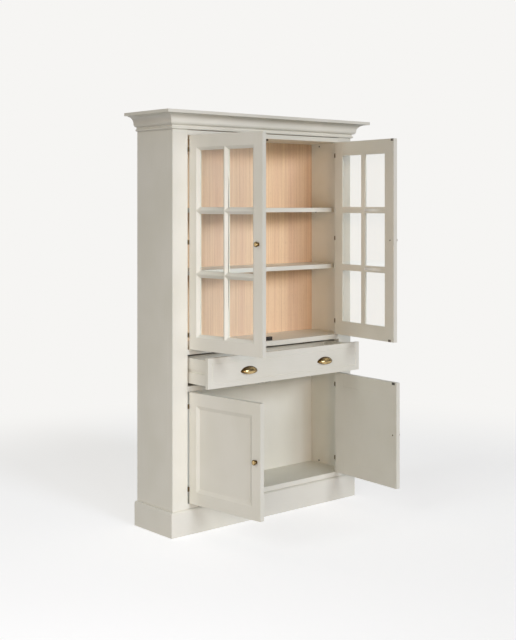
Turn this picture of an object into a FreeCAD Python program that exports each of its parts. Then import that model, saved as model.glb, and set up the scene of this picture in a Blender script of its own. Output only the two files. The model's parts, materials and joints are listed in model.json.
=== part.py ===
import FreeCAD, Part
import os
import re

# A tall display cabinet: glazed doors over a long drawer over a two-door cupboard.
# Row frame: origin on the floor, mid width and mid depth of the carcass; +Z up, +X to the
# right of someone who faces the cabinet, +Y from the front to the wall. Millimetres.
# The doors and the drawer are stored open, as the photograph shows them.

doc = FreeCAD.newDocument("display_cabinet")

SIZES = {
    # carcass
    "cabinet_height": 2000, "body_width": 1144, "body_depth": 300,
    "side_thick": 22, "board_thick": 25, "back_thick": 10, "stile_width": 86, "stile_thick": 38,
    "cupboard_clear": 530, "drawer_clear": 149, "top_board_thick": 22.5, "shadow_gap": 2.5,
    # plinth
    "plinth_height": 118, "plinth_thick": 16, "plinth_chamfer": 6, "brace_thick": 18,
    # cornice, as projections from the body's faces and heights
    "cap_thick": 15, "cap_reach": 74, "cove_reach": 54, "cove_radius": 34, "cove_lip": 2,
    "ovolo_reach": 22, "ovolo_radius": 15, "neck_reach": 5, "bead_radius": 5.5, "moulding_height": 71,
    # shelves and their pins
    "shelf_thick": 22, "shelf_setback": 50, "shelf_nose": 18, "shelf_notch": 6, "shelf_gap": 1,
    "pin_radius": 2.5, "pin_bore_gap": 0.1, "pin_in": 9, "pin_out": 9, "pin_from_edge": 40,
    "pin_from_nose": 14,
    # doors
    "door_thick": 22, "door_gap": 3, "door_end_gap": 1.5,
    "stile_face": 56, "hinge_stile_face": 48, "rail_face": 59, "bevel_width": 14, "bevel_depth": 11,
    "rebate_width": 9, "rebate_front": 13, "bar_ridge": 4,
    "glass_thick": 4, "glass_edge_gap": 1,
    "panel_bevel_width": 18, "panel_bevel_depth": 9, "panel_rebate": 9,
    # butt hinges
    "pin_offset": 4, "knuckle_radius": 2.8, "hinge_pin_radius": 1.2, "hinge_bore_gap": 0.1,
    "knuckle_gap": 0.3, "leaf_thick": 1.2, "leaf_reach": 38, "leaf_start": 3.7,
    "hinge_height": 22, "hinge_inset": 68,
    # knobs
    "knob_radius": 12.5, "knob_half_depth": 6, "knob_centre_reach": 15, "knob_neck_radius": 5,
    "rose_radius": 9, "rose_thick": 2, "screw_radius": 2, "screw_bore_gap": 0.2,
    "screw_head_radius": 3.5, "screw_head_thick": 1.2,
    # magnetic catches and their strike plates
    "catch_depth": 14, "catch_gap": 0.3,
    "head_catch_width": 24, "head_catch_height": 8, "head_catch_place": 12.5,
    "floor_catch_width": 36, "floor_catch_height": 18, "floor_catch_place": 33,
    "cupboard_catch_width": 36, "cupboard_catch_height": 10, "cupboard_catch_place": 24,
    "strike_width": 20, "strike_height": 12, "strike_thick": 1.5,
    # drawer
    "drawer_open": 158, "drawer_gap": 2.5, "drawer_front_thick": 20,
    "field_margin": 24, "field_groove": 4, "field_depth": 2,
    "drawer_side_thick": 12, "drawer_side_height": 120, "drawer_side_gap": 8, "drawer_length": 240,
    "drawer_bottom_thick": 6, "drawer_bottom_rise": 8, "bottom_groove": 5, "drawer_back_drop": 6,
    "runner_height": 14, "runner_reach": 6, "runner_gap": 0.3, "spacer_height": 56, "spacer_gap": 6,
    # cup pulls
    "cup_half_width": 45, "cup_reach": 24, "cup_half_height": 29.5, "cup_below": 4, "cup_wall": 2.2,
    "cup_lip_radius": 106, "flange_half_width": 49, "flange_half_height": 32, "flange_thick": 2.4,
    # how far a cutting shape passes the surface it cuts
    "overrun": 10,
}

# How far each door stands open, in degrees from closed.
ANGLES = {
    "left_upper_angle": 83, "right_upper_angle": 84.4, "left_lower_angle": 84.6, "right_lower_angle": 86.5,
}
SQUARE_ANGLE = 90
MITRE_ANGLE = SQUARE_ANGLE / 2

# Places that follow from the sizes, each written once.
TERMS = {
    "half_width": "body_width / 2",
    "front": "-body_depth / 2",
    "back": "body_depth / 2",
    "shelf_shoulder": "front + shelf_setback + shelf_nose",
    "inner": "half_width - side_thick",
    "opening": "half_width - stile_width",
    "board_front": "front + stile_thick",
    "panel_front": "back - back_thick",
    "cupboard_floor": "plinth_height + board_thick",
    "divider_bottom": "cupboard_floor + cupboard_clear",
    "drawer_floor": "divider_bottom + board_thick",
    "middle_bottom": "drawer_floor + drawer_clear",
    "display_floor": "middle_bottom + board_thick",
    "cap_bottom": "cabinet_height - cap_thick",
    "moulding_bottom": "cap_bottom - moulding_height",
    "board_head": "moulding_bottom - shadow_gap",
    "display_head": "board_head - top_board_thick",
    "pin_x": "opening - door_gap / 2",
    "pin_y": "front - pin_offset",
    "hung_edge": "door_gap / 2",
    "free_edge": "hung_edge + opening - 3 * door_gap / 2",
    "door_front": "pin_offset",
    "door_back": "pin_offset + door_thick",
    "closed_back": "pin_y + door_back",
    "upper_bottom": "display_floor + door_end_gap",
    "upper_top": "display_head - door_end_gap",
    "lower_bottom": "cupboard_floor + door_end_gap",
    "lower_top": "divider_bottom - door_end_gap",
    "bar_width": "bar_ridge + 2 * bevel_width",
    "hung_sight": "hinge_stile_face + bevel_width",
    "stile_sight": "stile_face + bevel_width",
    "rail_sight": "rail_face + bevel_width",
    "pane_width": "(free_edge - hung_edge - hung_sight - stile_sight - bar_width) / 2",
    "pane_height": "(upper_top - upper_bottom - 2 * rail_sight - 2 * bar_width) / 3",
    "drawer_edge": "opening - drawer_gap",
    "drawer_low": "drawer_floor + drawer_gap",
    "drawer_high": "middle_bottom - drawer_gap",
    "drawer_mid": "(drawer_low + drawer_high) / 2",
    "drawer_face": "front - drawer_open",
    "drawer_start": "drawer_face + drawer_front_thick",
    "drawer_end": "drawer_start + drawer_length",
    "side_low": "drawer_mid - drawer_side_height / 2",
    "side_high": "drawer_mid + drawer_side_height / 2",
    "side_outer": "opening - drawer_side_gap",
    "side_inner": "side_outer - drawer_side_thick",
    "bottom_low": "side_low + drawer_bottom_rise",
    "bottom_high": "bottom_low + drawer_bottom_thick",
}

sheet = doc.addObject("Spreadsheet::Sheet", "Sizes")
for row, (alias, value) in enumerate((SIZES | ANGLES).items(), start=1):
    sheet.set(f"A{row}", alias)
    sheet.set(f"B{row}", str(value))
    sheet.setAlias(f"B{row}", alias)
doc.recompute()

kept = []


def rule(text):
    """Write a rule out in the named sizes alone."""
    def spell(match):
        word = match.group(0)
        if word in TERMS:
            return "(" + rule(TERMS[word]) + ")"
        if word not in SIZES and word not in ANGLES:
            raise KeyError(f"no size is called {word}")
        return "Sizes." + word
    return re.sub(r"[a-z_]+[a-z0-9_]*", spell, str(text))


def less(a, b):
    return f"({a}) - ({b})"


def place(obj, x, y, z):
    for axis, text in zip("xyz", (x, y, z)):
        obj.setExpression(f".Placement.Base.{axis}", rule(text))
    return obj


def box(name, xs, ys, zs):
    """A block from its low and high place along each axis."""
    obj = doc.addObject("Part::Box", name)
    for size, (low, high) in zip(("Length", "Width", "Height"), (xs, ys, zs)):
        obj.setExpression(size, rule(less(high, low)))
    return place(obj, xs[0], ys[0], zs[0])


def rod(name, centre, radius, length, turn=None):
    """A cylinder that starts at centre and runs along +Z, or where turn points it."""
    obj = doc.addObject("Part::Cylinder", name)
    if turn:
        obj.Placement = FreeCAD.Placement(FreeCAD.Vector(), turn)
    obj.setExpression("Radius", rule(radius))
    obj.setExpression("Height", rule(length))
    return place(obj, *centre)


def egg(name, centre, half_x, half_y, half_z):
    """An ellipsoid from its centre and its three half sizes."""
    obj = doc.addObject("Part::Ellipsoid", name)
    for prop, text in (("Radius2", half_x), ("Radius3", half_y), ("Radius1", half_z)):
        obj.setExpression(prop, rule(text))
    return place(obj, *centre)


def join(name, pieces):
    obj = doc.addObject("Part::MultiFuse", name)
    obj.Shapes = pieces
    return obj


def cut(name, base, tool):
    obj = doc.addObject("Part::Cut", name)
    obj.Base = base
    obj.Tool = tool
    return obj


def group(name, pieces):
    obj = doc.addObject("Part::Compound", name)
    obj.Links = pieces
    return obj


def mirrored(name, piece):
    """The same piece for the other hand, mirrored across the plane of X zero."""
    obj = doc.addObject("Part::Mirroring", name)
    obj.Source = piece
    obj.Normal = FreeCAD.Vector(1, 0, 0)
    return obj


def keep(obj, label):
    obj.Label = label
    kept.append(obj)
    return obj


ALONG_X = FreeCAD.Rotation(FreeCAD.Vector(0, 1, 0), SQUARE_ANGLE)
ALONG_Y = FreeCAD.Rotation(FreeCAD.Vector(1, 0, 0), -SQUARE_ANGLE)
OUT_IN_FRONT = FreeCAD.Rotation(FreeCAD.Vector(1, 0, 0), SQUARE_ANGLE)
DOWN_THE_SIDE = FreeCAD.Rotation(FreeCAD.Vector(0, 0, 1), -SQUARE_ANGLE)
ON_ITS_EDGE = FreeCAD.Rotation(FreeCAD.Vector(1, 0, 0), MITRE_ANGLE)

# The carcass: two full-height sides behind two face stiles, all standing on the floor.
side_box = box("side_box", ("-half_width", "-inner"), ("board_front", "back"), (0, "cap_bottom"))
pins = []
for level in (1, 2):
    bar_centre = f"upper_bottom + rail_sight + {level} * pane_height + ({level} - 1 / 2) * bar_width"
    pin_z = f"{bar_centre} - shelf_thick / 2 - pin_radius"
    pins.append((f"front_{level}", "shelf_shoulder + pin_from_nose", pin_z))
    pins.append((f"back_{level}", "panel_front - pin_from_edge", pin_z))
bores = [rod(f"pin_bore_{name}", ("-inner - pin_in", y, z), "pin_radius + pin_bore_gap",
             "pin_in + overrun", ALONG_X)
         for name, y, z in pins]
side_left = keep(cut("side_left", side_box, join("pin_bores", bores)), "side_panel_left")
keep(mirrored("side_right", side_left), "side_panel_right")
upright = (0, "cap_bottom")
keep(box("stile_left", ("-half_width", "-opening"), ("front", "board_front"), upright), "front_stile_left")
keep(box("stile_right", ("opening", "half_width"), ("front", "board_front"), upright), "front_stile_right")


def board(name, low, high):
    """A board between the sides, notched round the stiles so that its edge is flush in front."""
    wide = box(name + "_wide", ("-inner", "inner"), ("board_front", "panel_front"), (low, high))
    nose = box(name + "_nose", ("-opening", "opening"), ("front", "board_front"), (low, high))
    return keep(join(name + "_joined", [wide, nose]), name)


board("bottom_board", "plinth_height", "cupboard_floor")
board("divider_board", "divider_bottom", "drawer_floor")
board("middle_board", "middle_bottom", "display_floor")
board("top_board", "display_head", "board_head")

# Two back panels between the sides, meeting behind the middle board.
panel_joint = "middle_bottom + board_thick / 2"
keep(box("back_upper", ("-inner", "inner"), ("panel_front", "back"), (panel_joint, "cap_bottom")),
     "display_back_panel")
keep(box("back_lower", ("-inner", "inner"), ("panel_front", "back"), (0, panel_joint)), "lower_back_panel")

# Two shelves behind the door's cross bars, each on four pins let into the sides. Their front
# corners are notched, so that each can be tilted in between the stiles.
shelves = []
for level in (1, 2):
    pin_top = f"{pins[2 * level - 1][2]} + pin_radius"
    heights = (pin_top, f"{pin_top} + shelf_thick")
    wide = box(f"shelf_{level}_wide", ("-inner + shelf_gap", "inner - shelf_gap"),
               ("shelf_shoulder", "panel_front - shelf_gap"), heights)
    nose = box(f"shelf_{level}_nose", ("-opening + shelf_notch", "opening - shelf_notch"),
               ("front + shelf_setback", "shelf_shoulder"), heights)
    shelves.append(join(f"shelf_{level}", [wide, nose]))
keep(group("shelves", shelves), "display_shelves")
left_pins = group("left_pins", [
    rod(f"pin_{name}", ("-inner - pin_in", y, z), "pin_radius", "pin_in + pin_out", ALONG_X)
    for name, y, z in pins])
keep(group("pins", [left_pins, mirrored("right_pins", left_pins)]), "shelf_pins")


# Mouldings and plinth boards run round three sides and meet in mitres at the front corners.
def mitre(name, corner, turn, low, high, reach):
    """A block that clears one side of the diagonal through a front corner of the body."""
    obj = doc.addObject("Part::Box", name)
    obj.setExpression("Length", rule(f"2 * ({reach})"))
    obj.setExpression("Width", rule(f"2 * ({reach})"))
    obj.setExpression("Height", rule(less(high, low)))
    obj.Placement = FreeCAD.Placement(FreeCAD.Vector(), FreeCAD.Rotation(FreeCAD.Vector(0, 0, 1), turn))
    return place(obj, corner, "front", low)


def run_round(name, profile, low, high, reach):
    """Front and side runs of one profile, mitred; profile draws a run along X from x0 to x1."""
    whole = profile(name + "_front_run", f"-half_width - {reach}", f"half_width + {reach}")
    place(whole, 0, "front", 0)
    ends = [mitre(name + "_mitre_a", "-half_width", SQUARE_ANGLE + MITRE_ANGLE, low, high, reach),
            mitre(name + "_mitre_b", "half_width", -MITRE_ANGLE, low, high, reach)]
    front_run = cut(name + "_front", whole, join(name + "_front_ends", ends))
    side = profile(name + "_side_run", "-back", f"-front + {reach}")
    side.Placement = FreeCAD.Placement(FreeCAD.Vector(), DOWN_THE_SIDE)
    place(side, "-half_width", 0, 0)
    end = mitre(name + "_mitre_c", "-half_width", -SQUARE_ANGLE - MITRE_ANGLE, low, high, reach)
    left_run = cut(name + "_left", side, end)
    return front_run, group(name + "_returns", [left_run, mirrored(name + "_right", left_run)])


def plinth_profile(name, x0, x1):
    """A plain board with a chamfered top arris, its back on the plane of Y zero."""
    plank = box(name + "_plank", (x0, x1), ("-plinth_thick", 0), (0, "plinth_height"))
    arris = box(name + "_arris", (x0, x1), (0, "plinth_thick"), (0, "plinth_thick"))
    arris.Placement = FreeCAD.Placement(FreeCAD.Vector(), ON_ITS_EDGE)
    place(arris, x0, "-plinth_thick", "plinth_height - plinth_chamfer")
    return cut(name + "_chamfered", plank, arris)


plinth_front, plinth_returns = run_round("plinth", plinth_profile, 0, "plinth_height", "plinth_thick")
keep(plinth_front, "plinth_front")
keep(plinth_returns, "plinth_returns")

# A rail under the back of the bottom board and one brace from it to the front of the plinth.
rail_front = "panel_front - brace_thick"
rear_rail = box("rear_rail", ("-inner", "inner"), (rail_front, "panel_front"), (0, "plinth_height"))
centre_brace = box("centre_brace", ("-brace_thick / 2", "brace_thick / 2"), ("front", rail_front),
                   (0, "plinth_height"))
keep(group("braces", [rear_rail, centre_brace]), "plinth_braces")


def cornice_profile(name, x0, x1):
    """Hollow cove over a rounded step over a bead, its back on the plane of Y zero."""
    span = less(x1, x0)
    cove_z = "cap_bottom - cove_lip - cove_radius"
    block = box(name + "_block", (x0, x1), ("-cove_reach", 0), (cove_z, "cap_bottom"))
    hollow = rod(name + "_hollow", (x0, "-ovolo_reach - cove_radius", cove_z), "cove_radius", span, ALONG_X)
    cove = cut(name + "_cove", block, hollow)
    step_z = f"{cove_z} - ovolo_radius"
    neck = box(name + "_neck", (x0, x1), ("-neck_reach", 0), ("moulding_bottom", cove_z))
    ovolo = rod(name + "_ovolo", (x0, "-ovolo_reach + ovolo_radius", cove_z), "ovolo_radius", span, ALONG_X)
    ledge = box(name + "_ledge", (x0, x1), ("-ovolo_reach + ovolo_radius", 0), (step_z, cove_z))
    bead_z = "moulding_bottom + bead_radius"
    bead = rod(name + "_bead", (x0, "-neck_reach", bead_z), "bead_radius", span, ALONG_X)
    behind = box(name + "_behind", (x0, x1), (0, "cove_reach"), ("moulding_bottom", "cap_bottom"))
    return cut(name + "_moulding", join(name + "_solid", [cove, neck, ovolo, ledge, bead]), behind)


cornice_front, cornice_returns = run_round("cornice", cornice_profile, "moulding_bottom", "cap_bottom",
                                           "cove_reach")
keep(cornice_front, "cornice_front")
keep(cornice_returns, "cornice_returns")
keep(box("cap", ("-half_width - cap_reach", "half_width + cap_reach"), ("front - cap_reach", "back"),
         ("cap_bottom", "cabinet_height")), "cornice_cap")


# The doors are drawn closed about their own hinge pin, which stands on X zero, Y zero: X runs
# from the pin to the free edge, Y into the cabinet. Each piece is drawn once for the left
# door, mirrored for the right one, and both are swung out on their pins.
def hang(piece, door, label):
    left = group(f"{door}_left_{label}", [piece])
    right = mirrored(f"{door}_right_{label}", piece)
    for obj, side, sign in ((left, "left", "-"), (right, "right", "")):
        far = "-" if side == "left" else ""
        place(obj, f"{far}pin_x", "pin_y", 0)
        obj.setExpression(".Placement.Rotation.Angle", rule(f"{sign}{side}_{door}_angle"))
        keep(obj, f"{door}_{side}_door_{label}")


def bevelled_hole(name, xs, zs, width, depth):
    """A sunk field: a bevel that falls from the door's face to the edges of the field."""
    obj = doc.addObject("Part::Wedge", name)
    wide, high = less(xs[1], xs[0]), less(zs[1], zs[0])
    rules = {"Xmin": f"-({width})", "Xmax": f"{wide} + {width}", "X2min": 0, "X2max": wide,
             "Zmin": f"-({width})", "Zmax": f"{high} + {width}", "Z2min": 0, "Z2max": high,
             "Ymin": 0, "Ymax": depth}
    for prop, text in rules.items():
        obj.setExpression(prop, rule(text))
    return place(obj, xs[0], "door_front", zs[0])


def grown(pair, by):
    return f"{pair[0]} - ({by})", f"{pair[1]} + ({by})"


def frame_pieces(door, tool, low, high, stiles, rail, knob_z):
    """Two stiles over the full height and two rails between them, all cut by one set of fields."""
    depth = ("door_front", "door_back")
    hung_width, free_width = stiles
    hung = box(f"{door}_hung_box", ("hung_edge", f"hung_edge + {hung_width}"), depth, (low, high))
    hang(cut(f"{door}_hung_stile", hung, tool), door, "hinge_stile")
    free = box(f"{door}_free_box", (f"free_edge - {free_width}", "free_edge"), depth, (low, high))
    bore = rod(f"{door}_knob_bore", ("free_edge - stile_face / 2", "door_front - overrun", knob_z),
               "screw_radius + screw_bore_gap", "door_thick + 2 * overrun", ALONG_Y)
    free_tools = join(f"{door}_free_tools", [tool, bore])
    hang(cut(f"{door}_free_stile", free, free_tools), door, "meeting_stile")
    between = (f"hung_edge + {hung_width}", f"free_edge - {free_width}")
    foot = box(f"{door}_foot_box", between, depth, (low, f"{low} + {rail}"))
    head = box(f"{door}_head_box", between, depth, (f"{high} - ({rail})", high))
    hang(cut(f"{door}_rails", group(f"{door}_rail_boxes", [foot, head]), tool), door, "rails")


def knob(door, knob_z):
    """A turned knob on a small rose, with its screw through the stile."""
    x = "free_edge - stile_face / 2"
    rose = rod(f"{door}_rose", (x, "door_front", knob_z), "rose_radius", "rose_thick", OUT_IN_FRONT)
    neck = rod(f"{door}_neck", (x, "door_front", knob_z), "knob_neck_radius", "knob_centre_reach",
               OUT_IN_FRONT)
    head = egg(f"{door}_knob_head", (x, "door_front - knob_centre_reach", knob_z),
               "knob_radius", "knob_half_depth", "knob_radius")
    shank = rod(f"{door}_shank", (x, "door_front", knob_z), "screw_radius", "door_thick", ALONG_Y)
    screw = rod(f"{door}_screw", (x, "door_back", knob_z), "screw_head_radius", "screw_head_thick", ALONG_Y)
    hang(join(f"{door}_knob", [rose, neck, head, shank, screw]), door, "knob")


def strike(name, place_x, zs):
    """A steel plate on the inner face of the door, behind which the catch sits."""
    x = f"pin_x - {place_x}"
    return box(name, (f"{x} - strike_width / 2", f"{x} + strike_width / 2"),
               ("door_back", "door_back + strike_thick"), zs)


# Upper doors: a frame, a grille of one upright and four cross bars, six panes in rebates at
# the back and a ring of beads behind each pane.
pane_tools, rebates, glass, clear = [], [], [], []
for column in (0, 1):
    x0 = f"hung_edge + hung_sight + {column} * (pane_width + bar_width)"
    for level in (0, 1, 2):
        z0 = f"upper_bottom + rail_sight + {level} * (pane_height + bar_width)"
        xs, zs = (x0, f"{x0} + pane_width"), (z0, f"{z0} + pane_height")
        tag = f"{column}_{level}"
        clear.append(box(f"clear_{tag}", xs, ("door_front", "door_back"), zs))
        rebates.append(box(f"rebate_{tag}", grown(xs, "rebate_width"),
                           ("door_front + rebate_front", "door_back"), grown(zs, "rebate_width")))
        bevels = bevelled_hole(f"bevel_{tag}", xs, zs, "bevel_width", "bevel_depth")
        pane_tools += [bevels, clear[-1], rebates[-1]]
        pane_edge = "rebate_width - glass_edge_gap"
        glass_front = "door_front + rebate_front"
        glass.append(box(f"glass_{tag}", grown(xs, pane_edge), (glass_front, f"{glass_front} + glass_thick"),
                         grown(zs, pane_edge)))
panes = join("pane_tools", pane_tools)
upper_mid = "(upper_bottom + upper_top) / 2"
frame_pieces("upper", panes, "upper_bottom", "upper_top", ("hung_sight", "stile_sight"), "rail_sight",
             upper_mid)

bar_x = "hung_edge + hung_sight + pane_width"
field = ("upper_bottom + rail_sight", "upper_top - rail_sight")
bars = [box("upright_bar", (bar_x, f"{bar_x} + bar_width"), ("door_front", "door_back"), field)]
bar_runs = (("hung_edge + hung_sight", bar_x), (f"{bar_x} + bar_width", "free_edge - stile_sight"))
for level in (1, 2):
    z0 = f"upper_bottom + rail_sight + {level} * pane_height + ({level} - 1) * bar_width"
    for column, run in enumerate(bar_runs):
        bars.append(box(f"cross_bar_{level}_{column}", run, ("door_front", "door_back"),
                        (z0, f"{z0} + bar_width")))
shaped_bars = [cut(f"shaped_bar_{count}", bar, panes) for count, bar in enumerate(bars)]
hang(group("grille", shaped_bars), "upper", "glazing_bars")
hang(group("panes_of_glass", glass), "upper", "glass_panes")
bead_rings = []
for ring, (outer, inner) in enumerate(zip(rebates, clear)):
    back_half = box(f"bead_slab_{ring}", ("hung_edge", "free_edge"),
                    ("door_front + rebate_front + glass_thick", "door_back"), ("upper_bottom", "upper_top"))
    bead_block = doc.addObject("Part::Common", f"bead_block_{ring}")
    bead_block.Base = outer
    bead_block.Tool = back_half
    bead_rings.append(cut(f"bead_ring_{ring}", bead_block, inner))
hang(group("bead_rings", bead_rings), "upper", "glazing_beads")
knob("upper", upper_mid)
hang(group("upper_strikes", [
    strike("head_strike", "head_catch_place", ("upper_top - strike_height", "upper_top")),
    strike("floor_strike", "floor_catch_place", ("upper_bottom", "upper_bottom + strike_height")),
]), "upper", "strike_plates")

# Lower doors: the same frame round one flat panel, let in from the back and flush there.
panel_stiles = ("(hinge_stile_face + panel_bevel_width)", "(stile_face + panel_bevel_width)")
panel_rail = "(rail_face + panel_bevel_width)"
xs = (f"hung_edge + {panel_stiles[0]}", f"free_edge - {panel_stiles[1]}")
zs = (f"lower_bottom + {panel_rail}", f"lower_top - {panel_rail}")
sunk = bevelled_hole("panel_bevel", xs, zs, "panel_bevel_width", "panel_bevel_depth")
seat_depth = ("door_front + panel_bevel_depth", "door_back")
panel_seat = box("panel_seat", grown(xs, "panel_rebate"), seat_depth, grown(zs, "panel_rebate"))
lower_mid = "(lower_bottom + lower_top) / 2"
frame_pieces("lower", join("panel_tools", [sunk, panel_seat]), "lower_bottom", "lower_top",
             panel_stiles, panel_rail, lower_mid)
panel = box("flat_panel", grown(xs, "panel_rebate"), seat_depth, grown(zs, "panel_rebate"))
hang(panel, "lower", "panel")
knob("lower", lower_mid)
hang(strike("cupboard_strike", "cupboard_catch_place", ("lower_top - strike_height", "lower_top")),
     "lower", "strike_plate")


# Butt hinges in the gap beside each door. The pin is held by the outer knuckles of the frame
# leaf; the middle knuckle, on the door leaf, turns on it. The frame leaf runs back along the
# stile, past the edge of the closed door.
def leaf(name, x0, x1, y1, centre_z, knuckles):
    low, high = f"{centre_z} - hinge_height / 2", f"{centre_z} + hinge_height / 2"
    pieces = [box(name + "_plate", (x0, x1), ("leaf_start", y1), (low, high))]
    for count, (start, end) in enumerate(knuckles):
        pieces.append(box(f"{name}_link_{count}", (x0, x1), (0, "leaf_start"), (start, end)))
        pieces.append(rod(f"{name}_knuckle_{count}", (0, 0, start), "knuckle_radius", less(end, start)))
    return pieces


def hinge(name, centre_z):
    low, high = f"{centre_z} - hinge_height / 2", f"{centre_z} + hinge_height / 2"
    third = "hinge_height / 3"
    fixed = leaf(name + "_fixed", "-door_gap / 2", "-door_gap / 2 + leaf_thick", "leaf_reach", centre_z,
                 [(low, f"{low} + {third}"), (f"{high} - {third}", high)])
    fixed.append(rod(name + "_pin", (0, 0, low), "hinge_pin_radius", "hinge_height"))
    middle = (f"{low} + {third} + knuckle_gap", f"{high} - {third} - knuckle_gap")
    turning = leaf(name + "_door", "hung_edge - leaf_thick", "hung_edge", "door_back", centre_z, [middle])
    bore = rod(name + "_bore", (0, 0, low), "hinge_pin_radius + hinge_bore_gap", "hinge_height")
    return join(name + "_frame_leaf", fixed), cut(name + "_door_leaf", join(name + "_turning", turning), bore)


frame_leaves = []
for door, low, high, places in (("upper", "upper_bottom", "upper_top", ("foot", "mid", "head")),
                                ("lower", "lower_bottom", "lower_top", ("foot", "head"))):
    centres = {
        "foot": f"{low} + hinge_inset",
        "mid": f"({low} + {high}) / 2",
        "head": f"{high} - hinge_inset",
    }
    door_leaves = []
    for where in places:
        fixed, turning = hinge(f"{door}_{where}", centres[where])
        frame_leaves.append(fixed)
        door_leaves.append(turning)
    hang(group(f"{door}_door_leaves", door_leaves), door, "hinge_leaves")
left_leaves = place(group("left_leaves", frame_leaves), "-pin_x", "pin_y", 0)
keep(group("leaves", [left_leaves, mirrored("right_leaves", left_leaves)]), "frame_hinge_leaves")


# Magnetic catches, two at each place: under the display's top, on its floor, under the divider.
def catch(name, zs):
    y0 = "closed_back + strike_thick + catch_gap"
    middle, half = f"{name}_place", f"{name}_width / 2"
    body = box(name, (f"{middle} - {half}", f"{middle} + {half}"), (y0, f"{y0} + catch_depth"), zs)
    return [body, mirrored(name + "_twin", body)]


catches = catch("head_catch", ("display_head - head_catch_height", "display_head"))
catches += catch("floor_catch", ("display_floor", "display_floor + floor_catch_height"))
catches += catch("cupboard_catch", ("divider_bottom - cupboard_catch_height", "divider_bottom"))
keep(group("catches", catches), "door_catches")

# The drawer hangs by grooves in its sides on two hardwood runners, which spacers carry clear
# of the cabinet's sides. It is drawn pulled out by drawer_open.
spacer = box("spacer", ("-inner", "-side_outer - spacer_gap"), ("board_front", "panel_front"),
             ("drawer_mid - spacer_height / 2", "drawer_mid + spacer_height / 2"))
tongue = box("tongue", ("-side_outer - spacer_gap", "-side_outer + runner_reach - runner_gap"),
             ("closed_back", "panel_front"),
             ("drawer_mid - runner_height / 2", "drawer_mid + runner_height / 2"))
left_runner = join("left_runner", [spacer, tongue])
keep(group("runners", [left_runner, mirrored("right_runner", left_runner)]), "drawer_runners")

drawer_y = ("drawer_start", "drawer_end")
side_blank = box("side_blank", ("-side_outer", "-side_inner"), drawer_y, ("side_low", "side_high"))
half_groove = "(runner_height / 2 + runner_gap)"
runner_slot = box("runner_slot", ("-side_outer", "-side_outer + runner_reach"), drawer_y,
                  (f"drawer_mid - {half_groove}", f"drawer_mid + {half_groove}"))
bottom_slot = box("bottom_slot", ("-side_inner - bottom_groove", "-side_inner"), drawer_y,
                  ("bottom_low", "bottom_high"))
drawer_left = keep(cut("drawer_left", side_blank, join("side_slots", [runner_slot, bottom_slot])),
                   "drawer_side_left")
keep(mirrored("drawer_right", drawer_left), "drawer_side_right")
keep(box("drawer_rear", ("-side_inner", "side_inner"), ("drawer_end - drawer_side_thick", "drawer_end"),
         ("bottom_high", "side_high - drawer_back_drop")), "drawer_back")
keep(box("drawer_base", ("-side_inner - bottom_groove", "side_inner + bottom_groove"), drawer_y,
         ("bottom_low", "bottom_high")), "drawer_bottom")

# The drawer front carries a fine sunk line round a plain field.
front_slab = box("front_slab", ("-drawer_edge", "drawer_edge"), ("drawer_face", "drawer_start"),
                 ("drawer_low", "drawer_high"))
line_depth = ("drawer_face", "drawer_face + field_depth")
line_outer = box("line_outer", ("-drawer_edge + field_margin", "drawer_edge - field_margin"), line_depth,
                 ("drawer_low + field_margin", "drawer_high - field_margin"))
line_in = "(field_margin + field_groove)"
line_inner = box("line_inner", (f"-drawer_edge + {line_in}", f"drawer_edge - {line_in}"), line_depth,
                 (f"drawer_low + {line_in}", f"drawer_high - {line_in}"))
keep(cut("grooved_front", front_slab, cut("line_ring", line_outer, line_inner)), "drawer_front")

# Two cup pulls: a domed cup that is open below, on a thin flange. The lower edge is a shallow
# arc, so that the cup comes to a point at each side.
cup_x = "opening / 2"
cup_low = "drawer_mid - (cup_below + cup_half_height) / 2"
cup_centre = (f"-({cup_x})", "drawer_face", f"{cup_low} + cup_below")
dome = egg("cup_dome", cup_centre, "cup_half_width", "cup_reach", "cup_half_height")
flange = egg("cup_flange", cup_centre, "flange_half_width", "flange_thick", "flange_half_height")
hollow = egg("cup_hollow", cup_centre, "cup_half_width - cup_wall", "cup_reach - cup_wall",
             "cup_half_height - cup_wall")
around = (f"-({cup_x}) - flange_half_width - overrun", f"-({cup_x}) + flange_half_width + overrun")
cup_out = "drawer_face - cup_reach - overrun"
under = box("cup_under_block", around, (cup_out, "drawer_face"),
            (f"{cup_low} - flange_half_height", f"{cup_low} + cup_half_height"))
lip_round = rod("cup_lip_round", (f"-({cup_x})", cup_out, f"{cup_low} + cup_lip_radius"),
                "cup_lip_radius", "cup_reach + 2 * overrun", ALONG_Y)
below = cut("cup_below_it", under, lip_round)
behind = box("cup_behind_it", around, ("drawer_face", "drawer_face + cup_reach + overrun"),
             (f"{cup_low} - flange_half_height", f"{cup_low} + 2 * flange_half_height"))
cup_left = cut("cup_left", join("cup_solid", [dome, flange]), join("cup_tools", [hollow, below, behind]))
keep(group("cups", [cup_left, mirrored("cup_right", cup_left)]), "cup_pulls")

doc.recompute()
for obj in doc.Objects:
    if "Invalid" in obj.State or "Error" in obj.State:
        raise RuntimeError(f"{obj.Name} failed: {obj.State}")
os.makedirs("parts", exist_ok=True)
for obj in kept:
    if obj.Shape.isNull() or not obj.Shape.isValid() or not obj.Shape.Solids:
        raise RuntimeError(f"{obj.Label} has no sound solid")
for obj in kept:
    obj.Shape.exportStep(f"parts/{obj.Label}.step")
    print(obj.Label, len(obj.Shape.Solids), round(obj.Shape.Volume))
print(len(kept), "nodes")
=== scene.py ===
import bmesh
import bpy
import json
import math
from mathutils import Matrix, Vector


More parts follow.
